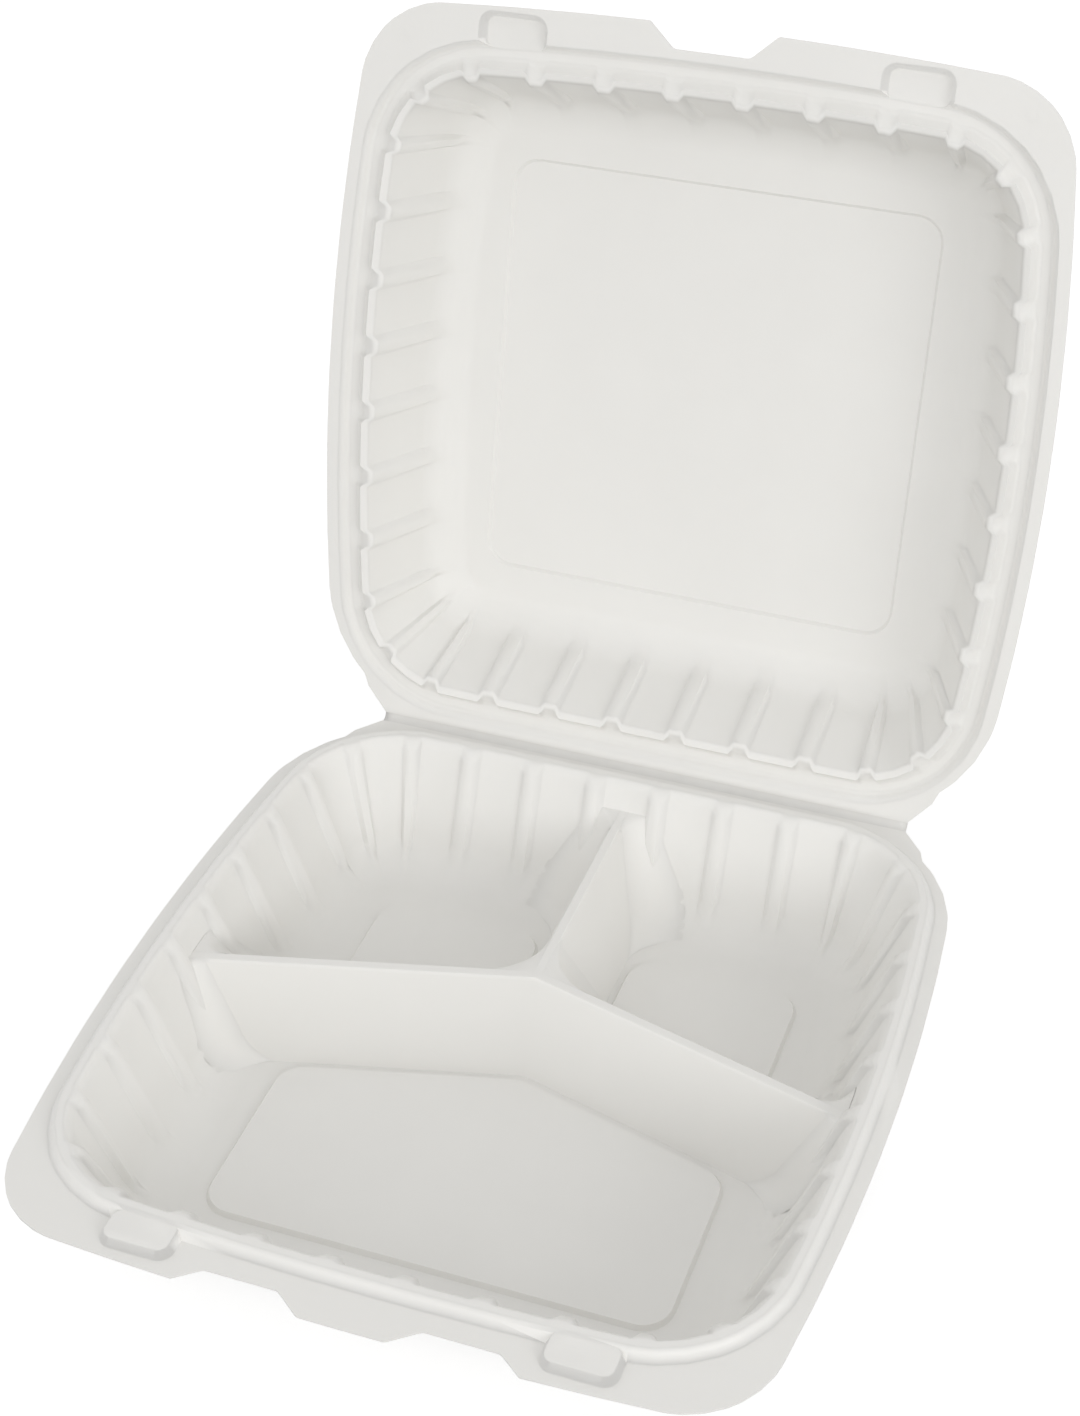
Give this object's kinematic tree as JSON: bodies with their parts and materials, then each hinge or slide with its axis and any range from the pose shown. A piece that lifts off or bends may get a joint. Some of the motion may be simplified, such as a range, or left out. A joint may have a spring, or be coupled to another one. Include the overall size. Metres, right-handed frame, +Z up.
{
  "type": "takeout container",
  "caption": "White plastic takeout clamshell with ribbed walls, a divided tray and a hinged lid standing open; holds food in separate compartments.",
  "frame": {"origin": "on the face the tray rests on, in the middle plane, just in front of the meeting point of the dividers", "axes": "+Z up, +X to the right seen from the front, +Y from the front tab to the hinge"},
  "size_m": [0.229, 0.3212, 0.2569],
  "materials": {
    "formed_sheet": "satin, off-white formed plastic sheet"
  },
  "bodies": {
    "tray": {"tray": "formed_sheet", "hinge": "formed_sheet"},
    "lid": {"lid": "formed_sheet"}
  },
  "joints": [
    {"name": "lid_hinge", "type": "hinge", "parent": "tray", "child": "lid", "pos_m": [0, 0.10705, 0.0366], "axis": [-1, 0, 0], "range_deg": [-107.4, 72.6]}
  ]
}
